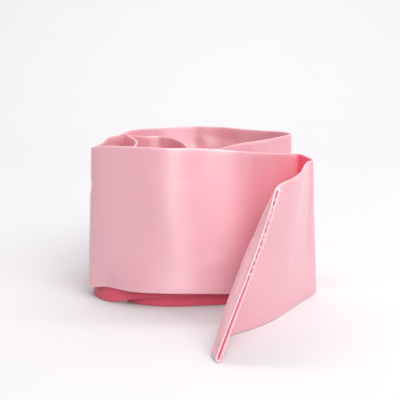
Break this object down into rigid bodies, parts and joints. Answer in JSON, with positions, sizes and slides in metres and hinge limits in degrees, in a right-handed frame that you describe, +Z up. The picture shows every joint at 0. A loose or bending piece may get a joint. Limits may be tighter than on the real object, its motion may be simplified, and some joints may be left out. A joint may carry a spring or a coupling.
{
  "type": "rolled satin sash",
  "caption": "Satin sash: a flat double-ply band rolled into a loose coil that stands on its long edge, with the outer end folded back as a free tail leaning outwards.",
  "frame": {"origin": "middle of the footprint's bounding box, on the surface that the sash stands on", "axes": "+Z up across the band's width, -Y towards the free tail's tip, +X to the right of someone facing the coil's front"},
  "size_m": [0.1654, 0.2662, 0.1113],
  "materials": {
    "satin": "pale pink satin weave, soft directional sheen"
  },
  "bodies": {
    "root": {"end_hem": "satin", "tail": "satin", "turn": "satin", "outer_front": "satin", "outer_left": "satin", "outer_back": "satin", "second_front": "satin", "second_left": "satin", "inner_back": "satin", "inner_right": "satin", "inner_end": "satin"}
  },
  "joints": []
}
